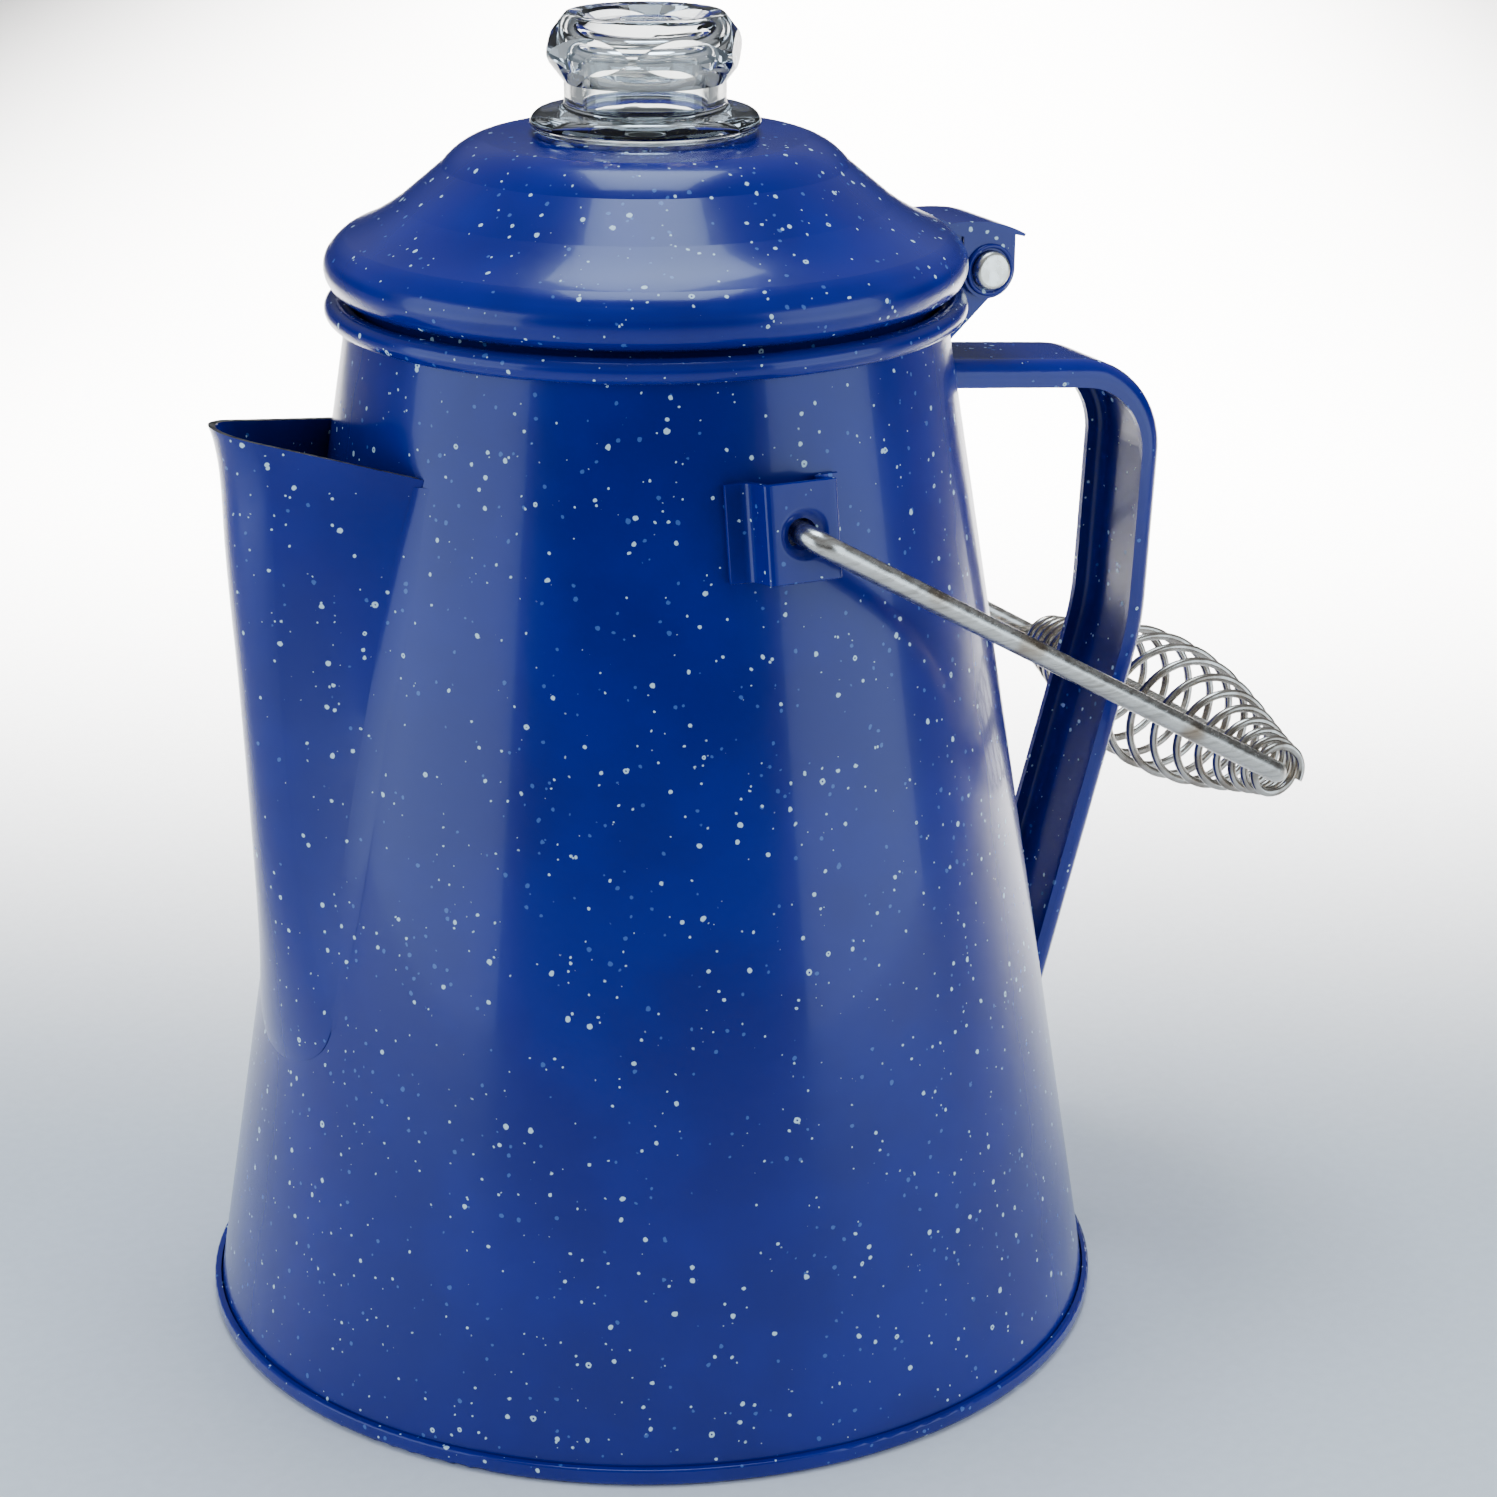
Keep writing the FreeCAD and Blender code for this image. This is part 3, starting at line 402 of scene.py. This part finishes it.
def make_aluminium(name):
    """Spun aluminium: fine rings round the axis."""
    material, tree, shader = new_material(name)
    split = tree.nodes.new("ShaderNodeSeparateXYZ")
    tree.links.new(coordinates(tree), split.inputs["Vector"])
    squares = [math_node(tree, "MULTIPLY", split.outputs[i], split.outputs[i]) for i in (0, 1)]
    radius = math_node(tree, "SQRT", math_node(tree, "ADD", *squares))
    combine = tree.nodes.new("ShaderNodeCombineXYZ")
    tree.links.new(radius, combine.inputs[0])
    tree.links.new(split.outputs[2], combine.inputs[2])
    rings = noise(tree, combine.outputs[0], 2600.0)
    base = ramp(tree, rings, [(0.3, (0.56, 0.56, 0.55)), (0.7, (0.74, 0.74, 0.73))])
    tree.links.new(base, shader.inputs["Base Color"])
    rough = ramp(tree, rings, [(0.3, grey(0.30)), (0.7, grey(0.42))])
    tree.links.new(rough, shader.inputs["Roughness"])
    settings(shader, Metallic=1.0)
    bump(tree, shader, rings, 0.2, 0.00006)
    return material


ENAMEL = make_enamel("speckled_enamel")
# the inside copy is the same enamel dimmed to 0.8, with its white specks weakened to 0.8: painted shade
# for the skirt that sits inside the pot's rim
SHADED_INNER_ENAMEL = make_enamel("speckled_enamel_inside_painted_shade", white=0.8, painted_shade=0.8)
BAIL_DROOP = math.radians(30.5)   # of the bail's arms at rest, below level
WIRE = make_wire_steel("satin_wire", (0.0, BAIL_DROOP, 0.0))
SPRING = make_bright_steel("spring_wire")
RIVET = make_rivet_steel("rivet_steel")
BARE_EDGE = make_bare_edge("bare_edge")
GLASS = make_glass("clear_glass")
ALUMINIUM = make_aluminium("spun_aluminium")

NODE_MATERIALS = {
    "pot_shell": ENAMEL,
    "pot_base": ENAMEL,
    "spout": ENAMEL,
    "rear_handle": ENAMEL,
    "bail_lug_left": ENAMEL,
    "bail_lug_right": ENAMEL,
    "hinge_bracket": ENAMEL,
    "lid_shell": ENAMEL,
    "lid_hinge_leaf": ENAMEL,
    # painted shade: the skirt gets the dimmed inside copy of the enamel
    "lid_skirt": SHADED_INNER_ENAMEL,
    "hinge_pin": RIVET,
    "glass_knob": GLASS,
    "bail_wire": WIRE,
    "grip_coil": SPRING,
    "pump_tube": ALUMINIUM,
    "pump_bell": ALUMINIUM,
    "basket_stop": ALUMINIUM,
    "basket_cup": ALUMINIUM,
    "basket_sleeve": ALUMINIUM,
    "basket_lid": ALUMINIUM,
}


def dress_nodes():
    """Give each CAD node its procedural material."""
    for name, material in NODE_MATERIALS.items():
        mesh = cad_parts[name].data
        mesh.materials.clear()
        mesh.materials.append(material)


# ================================================================ shapes shared with the model

CONE_FOOT_R = 85.01
CONE_TAPER = 0.1624
WELD_GAP = 0.08                   # between the wall and the parts welded to it


def cone_r(z):
    """Radius of the pot's wall at a height, in millimetres."""
    return CONE_FOOT_R - CONE_TAPER * z


def smooth(x, low, high):
    """A soft step from 0 to 1 as x goes from low to high."""
    t = min(max((x - low) / (high - low), 0.0), 1.0)
    return t * t * (3.0 - 2.0 * t)


SAME_POINT = 0.00002              # metres within which two points are one
LIP_ROWS = ((0.22, 0.72), (0.5, 1.0), (0.78, 0.72))     # share of the depth, share of the bulge


def thicken(verts, faces, depth, lip):
    """Give an open surface a back, and a softly bulging edge round each of its borders."""
    shell = bmesh.new()
    made = [shell.verts.new(v) for v in verts]
    for face in faces:
        shell.faces.new([made[i] for i in face])
    bmesh.ops.remove_doubles(shell, verts=shell.verts, dist=SAME_POINT)
    shell.normal_update()
    shell.verts.index_update()
    front = [v.co.copy() for v in shell.verts]
    normals = [v.normal.copy() for v in shell.verts]
    outline = [e for e in shell.edges if len(e.link_faces) == 1]
    skins = [[v.index for v in face.verts] for face in shell.faces]
    outward = {}
    pairs = []
    for edge in outline:
        face = edge.link_faces[0]
        a, b = edge.verts
        loop = [v.index for v in face.verts]
        if loop[(loop.index(a.index) + 1) % len(loop)] != b.index:
            a, b = b, a
        side = (b.co - a.co).cross(face.normal).normalized()
        for v in (a, b):
            outward[v.index] = outward.get(v.index, Vector()) + side
        pairs.append((a.index, b.index))
    shell.free()
    count = len(front)
    back = [p - n * depth * MM for p, n in zip(front, normals)]
    points = front + back
    rim = {}
    for index, side in outward.items():
        side = side.normalized() * lip * MM
        rim[index] = []
        for share, reach in LIP_ROWS:
            rim[index].append(len(points))
            points.append(front[index].lerp(back[index], share) + side * reach)
    out = list(skins) + [[i + count for i in face[::-1]] for face in skins]
    for a, b in pairs:
        chain_a = [a] + rim[a] + [a + count]
        chain_b = [b] + rim[b] + [b + count]
        for k in range(len(chain_a) - 1):
            out.append([chain_b[k], chain_a[k], chain_a[k + 1], chain_b[k + 1]])
    return points, out


# ---------------------------------------------------------------- bail lugs

LUG_Z = 165.1                     # height of the lug's middle
LUG_OFF = 8.4                     # its plate, out from the wall
LUG_HALF = 6.7
LUG_FLANGE = 10.4                 # half width over the flanges
LUG_TALL = 16.6
LUG_SHEET = 1.3
LUG_BEND = 1.7
FLANGE_BEND = 1.5
LUG_SKIN = 0.1                    # the sheet is this much thinner than the CAD lug's
LUG_LIP = 0.22                    # bulge of the enamel at the lug's edges
HOLE_R = 2.7
DISH_R = 4.5
DISH_DEPTH = 1.15
BAIL_Z = 166.0                    # height of the bail's pivot
LUG_ACROSS = 12                   # mesh steps across, up, and out from the hole
LUG_UP = 16
LUG_RINGS = 22


def lug_plate(half, low, high, hole_z):
    """Flat plate from a dished hole out to a rectangle, in the lug's own frame (x, out, z)."""
    across = [-half + 2 * half * i / LUG_ACROSS for i in range(LUG_ACROSS + 1)]
    up = [low + (high - low) * i / LUG_UP for i in range(LUG_UP + 1)]
    edge = [(x, low) for x in across[:-1]]
    edge += [(half, z) for z in up[:-1]]
    edge += [(x, high) for x in across[:0:-1]]
    edge += [(-half, z) for z in up[:0:-1]]
    rings = []
    for k in range(LUG_RINGS + 1):
        share = k / LUG_RINGS
        ring = []
        for x, z in edge:
            away = Vector((x, z - hole_z))
            start = away.normalized() * HOLE_R
            spot = start.lerp(away, share ** 1.6)
            dish = DISH_DEPTH * (1.0 - smooth(spot.length, HOLE_R - 0.6, DISH_R))
            ring.append((spot.x, LUG_OFF - dish, spot.y + hole_z))
        rings.append(ring)
    size = len(edge)
    points = [p for ring in rings for p in ring]
    faces = []
    for k in range(LUG_RINGS):
        for i in range(size):
            m = (i + 1) % size
            faces.append([k * size + i, (k + 1) * size + i, (k + 1) * size + m, k * size + m])
    return points, faces


def lug_side(turn, low, high):
    """The bend, the wall and the flange at one side of the plate; turn is +1 or -1."""
    sag = LUG_FLANGE ** 2 / (2 * cone_r(LUG_Z))
    foot = LUG_SHEET + LUG_SKIN
    path = rounded([
        (LUG_HALF - LUG_BEND, LUG_OFF),
        (LUG_HALF, LUG_OFF),
        (LUG_HALF, foot - sag * 0.4),
        (LUG_FLANGE, foot - sag),
    ], [0, LUG_BEND, FLANGE_BEND, 0], steps=8)
    points = []
    for x, out in path:
        for i in range(LUG_UP + 1):
            points.append((x * turn, out, low + (high - low) * i / LUG_UP))
    faces = []
    for k in range(len(path) - 1):
        here = k * (LUG_UP + 1)
        after = here + LUG_UP + 1
        for i in range(LUG_UP):
            quad = [here + i, here + i + 1, after + i + 1, after + i]
            faces.append(quad if turn < 0 else quad[::-1])
    return points, faces


def make_lug(name, yaw):
    """A hat-shaped lug that stands for the CAD one, turned about the pot's axis."""
    lean = math.atan(CONE_TAPER)
    hole_z = BAIL_Z - LUG_Z - (LUG_OFF - LUG_SHEET / 2) * CONE_TAPER
    high = LUG_TALL / 2
    low = -high
    plate = lug_plate(LUG_HALF - LUG_BEND, low, high, hole_z)
    points, faces = join(plate, lug_side(1, low, high), lug_side(-1, low, high))
    turn = Matrix.Rotation(math.radians(yaw), 4, "Z")
    place = (turn @ Matrix.Translation(vec(0, -cone_r(LUG_Z), LUG_Z))
             @ Matrix.Rotation(-lean, 4, "X"))
    verts = [place @ vec(x, -out, z) for x, out, z in points]
    verts, faces = thicken(verts, faces, LUG_SHEET - LUG_SKIN, LUG_LIP)
    replaced = name.replace("_soft", "")
    make_piece(name, verts, faces, ENAMEL, "pot", nodes=[replaced])


# ---------------------------------------------------------------- spout welds and lip

WELD_TOP_Z = 169.5
WELD_FOOT_Z = 62.0
TOE_Z = 71.0                      # below this the spout rounds off into its toe
TOE_R = 45.0
TOE_SPREAD = 0.945                # the toe is this much narrower than the circle
TOE_LEAVES = Vector((-0.28, -1.0)).normalized()
NOSE_AT_FLOOR = 72.5              # the nose's distance out, carried down to the floor
NOSE_LEAN = 0.0467
FLANK_HALF = 20.6                 # half the spout's width at the wall, just above the toe
FLANK_FLARE = 4.1                 # how much it gains in the next 100 mm
FLANK_TOP_Z = 172.0
FLANK_TOP_ANGLE = 32.0            # between the flank and straight ahead, at the top
FLANK_TURN = 30.0                 # how much more at the toe


def spout_meets_wall(z):
    """Where the spout's flank meets the wall at a height, and the way the flank leaves it."""
    wall = cone_r(z) + WELD_GAP
    if z < TOE_Z:
        reach = NOSE_AT_FLOOR + NOSE_LEAN * z - TOE_R
        x = (wall * wall - TOE_R ** 2 + reach * reach) / (2 * reach)
        half = math.sqrt(max(wall * wall - x * x, 0.0)) * TOE_SPREAD
        leaves = TOE_LEAVES
    else:
        half = FLANK_HALF + FLANK_FLARE * ((z - TOE_Z) / 100.0) ** 2
        fall = min(max(FLANK_TOP_Z - z, 0.0) / (FLANK_TOP_Z - TOE_Z), 1.0)
        angle = math.radians(FLANK_TOP_ANGLE + FLANK_TURN * fall ** 1.35)
        leaves = Vector((-math.cos(angle), -math.sin(angle)))
    x = math.sqrt(wall * wall - half * half)
    return -x, half, leaves


WELD_SECTIONS = 60
WELD_STEPS = 8                    # across the fillet's hollow
WELD_ROOT = 0.5                   # how deep its hidden edge sits in the wall
WELD_ALONG_WALL = 1.2             # its reach along the wall, for one along the flank


def weld_size(share):
    """The fillet's reach: small at the toe, full for most of the height, less at the top."""
    return 0.5 + 2.1 * smooth(share, 0.0, 0.35) - 0.9 * smooth(share, 0.85, 1.0)


def weld_section(z, size):
    """The fillet's outline at a height: a hollow curve from the flank to the wall, and its root."""
    x, y, leaves = spout_meets_wall(z)
    wall = cone_r(z)
    turn = math.atan2(y, -x)
    corner = Vector((x, y))
    start = corner + leaves * size
    far = turn + size * WELD_ALONG_WALL / wall
    end = Vector((-wall * math.cos(far), wall * math.sin(far)))
    row = []
    for k in range(WELD_STEPS + 1):
        t = k / WELD_STEPS
        row.append(start * (1 - t) ** 2 + corner * 2 * t * (1 - t) + end * t * t)
    root = wall - WELD_ROOT
    row.append(Vector((-root * math.cos(turn), root * math.sin(turn))))
    return row


def make_spout_weld(name, side):
    """A soft fillet of enamel in the corner between the spout and the wall."""
    sections = []
    for i in range(WELD_SECTIONS + 1):
        share = i / WELD_SECTIONS
        z = WELD_FOOT_Z + (WELD_TOP_Z - WELD_FOOT_Z) * i / WELD_SECTIONS
        sections.append([vec(p.x, p.y * side, z) for p in weld_section(z, weld_size(share))])
    verts, faces = loft(sections)
    make_piece(name, verts, faces, ENAMEL, "pot", sharp=60)


LIP_TIP = (85.1, 177.6)           # the lip's line: distance out and height, at the tip and at the wall
LIP_EDGE = (51.7, 170.7)
LIP_LOWEST = 168.0                # no face of the lip is lower
LIP_ALIGNED = 0.985               # cosine within which a face lies in the lip's plane


def darken_lip():
    """The spout's cut lip is bare: its faces get a dark metal of their own."""
    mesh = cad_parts["spout"].data
    mesh.materials.append(BARE_EDGE)
    out = LIP_TIP[0] - LIP_EDGE[0]
    rise = LIP_TIP[1] - LIP_EDGE[1]
    normal = Vector((rise, 0.0, out)).normalized()
    for polygon in mesh.polygons:
        if polygon.normal.dot(normal) > LIP_ALIGNED and polygon.center.z > LIP_LOWEST * MM:
            polygon.material_index = 1


# ---------------------------------------------------------------- hinge ears

HINGE_X = 65.2
HINGE_Z = 194.5
EAR_Y = 9.06                      # the foot of the rim's rounded part, out from the middle
EAR_HOLE_R = 3.75
EAR_RIM_R = 4.45
EAR_RIM_BEAD = 0.42
EAR_RIM_ROOT = -0.3


def make_ear_ring(name, side):
    """Raised rim of the dished hole in the hinge ear, round the rivet's head."""
    bead = arc(EAR_RIM_R, 0.0, EAR_RIM_BEAD, 180, 0)
    outer = EAR_RIM_R + EAR_RIM_BEAD
    profile = [(EAR_HOLE_R, 0.0)] + bead + [(outer, EAR_RIM_ROOT), (EAR_HOLE_R, EAR_RIM_ROOT)]
    verts, faces = lathe(profile, steps=72)
    turn = Matrix.Rotation(math.radians(-90 * side), 4, "X")
    place = Matrix.Translation(vec(HINGE_X, side * EAR_Y, HINGE_Z)) @ turn
    make_piece(name, [place @ v for v in verts], faces, ENAMEL, "lid")


# ================================================================ stage

CAMERA_PLACE = (-0.2387, -0.5622, 0.3222)
CAMERA_HEADING = 24.75            # degrees from +Y towards +X
CAMERA_PITCH = 19.41              # degrees below the horizon
CAMERA_ROLL = 0.195
CAMERA_LENS = 82.63               # millimetres, as is the sensor
SENSOR = 36.0


def add_camera():
    """The camera, aimed by its heading, pitch and roll."""
    data = bpy.data.cameras.new("camera")
    data.lens = CAMERA_LENS
    data.sensor_width = SENSOR
    data.clip_start = 0.01
    data.clip_end = 50.0
    camera = bpy.data.objects.new("camera", data)
    bpy.context.scene.collection.objects.link(camera)
    turn = (Matrix.Rotation(-math.radians(CAMERA_HEADING), 4, "Z")
            @ Matrix.Rotation(math.radians(90 - CAMERA_PITCH), 4, "X")
            @ Matrix.Rotation(math.radians(CAMERA_ROLL), 4, "Z"))
    camera.matrix_world = Matrix.Translation(Vector(CAMERA_PLACE)) @ turn
    bpy.context.scene.camera = camera


FLOOR_R = 6000.0
FLOOR_MIDDLE_R = 1200.0


def make_floor_material():
    """Matt paper with a fine grain, slightly warm to balance the cool lights."""
    material, tree, shader = new_material("paper_floor")
    place = coordinates(tree)
    grain = noise(tree, place, 400.0)
    base = ramp(tree, grain, [(0.3, (0.92, 0.89, 0.86)), (0.7, (0.95, 0.92, 0.89))])
    tree.links.new(base, shader.inputs["Base Color"])
    settings(shader, Roughness=0.75)
    bump(tree, shader, grain, 0.05, 0.0002)
    return material


def add_floor():
    """A big pale disc that fills the view behind the pot."""
    profile = [(0.0, 0.0), (FLOOR_MIDDLE_R, 0.0), (FLOOR_R, 0.0)]
    verts, faces = lathe(profile, steps=96, closed=False)
    mesh = bpy.data.meshes.new("floor")
    mesh.from_pydata([tuple(v) for v in verts], [], faces)
    floor = bpy.data.objects.new("floor", mesh)
    bpy.context.scene.collection.objects.link(floor)
    mesh.materials.append(make_floor_material())


def add_soft_light(name, place, target, size, power, colour=(1.0, 1.0, 1.0)):
    """A rectangular soft box that faces its target; sizes in metres, power in watts."""
    data = bpy.data.lights.new(name, "AREA")
    data.shape = "RECTANGLE"
    data.size, data.size_y = size
    data.energy = power
    data.color = colour
    light = bpy.data.objects.new(name, data)
    bpy.context.scene.collection.objects.link(light)
    aim = Vector(target) - Vector(place)
    turn = aim.to_track_quat("-Z", "Y").to_matrix().to_4x4()
    light.matrix_world = Matrix.Translation(Vector(place)) @ turn
    return data


HORIZON = (0.080, 0.086, 0.095)
SKY = (0.32, 0.34, 0.37)


def add_world():
    """A dim horizon, which the wall mirrors, under a brighter sky, which the lid and the knob mirror."""
    world = bpy.data.worlds.new("world")
    bpy.context.scene.world = world
    world.use_nodes = True
    tree = world.node_tree
    place = tree.nodes.new("ShaderNodeTexCoord")
    split = tree.nodes.new("ShaderNodeSeparateXYZ")
    tree.links.new(place.outputs["Generated"], split.inputs["Vector"])
    sky = ramp(tree, split.outputs["Z"], [(0.08, HORIZON), (0.42, SKY)])
    tree.links.new(sky, tree.nodes["Background"].inputs["Color"])


FRONT = -113.0                    # degrees from +X to the camera's side of the pot
COOL = (0.62, 0.80, 1.0)          # the tint of the soft boxes
BACKDROP_SPREAD = math.radians(24)


def around(heading, distance, height):
    """A place at a heading in degrees from the camera's side, anticlockwise seen from above."""
    angle = math.radians(FRONT + heading)
    return (distance * math.cos(angle), distance * math.sin(angle), height)


def add_lights():
    """A soft box on each side for the two bright bands, one over the lid, one on the floor behind."""
    low = (0.0, 0.0, 0.20)
    add_soft_light("band_left", around(-66, 0.62, 0.25), low, (0.56, 0.52), 2.8, COOL)
    add_soft_light("band_right", around(64, 0.62, 0.25), low, (0.50, 0.52), 2.4, COOL)
    add_soft_light("top", around(176, 0.12, 1.05), low, (0.46, 0.62), 8.5, COOL)
    back = add_soft_light("backdrop", around(176, 1.35, 1.7), around(176, 1.36, 0.0), (0.8, 2.0), 85.0)
    back.spread = BACKDROP_SPREAD


dress_nodes()
darken_lip()
make_lug("bail_lug_left_soft", 0)
make_lug("bail_lug_right_soft", 180)
make_spout_weld("spout_weld_left", -1)
make_spout_weld("spout_weld_right", 1)
make_ear_ring("hinge_ear_ring_left", -1)
make_ear_ring("hinge_ear_ring_right", 1)
add_camera()
add_world()
add_floor()
add_lights()
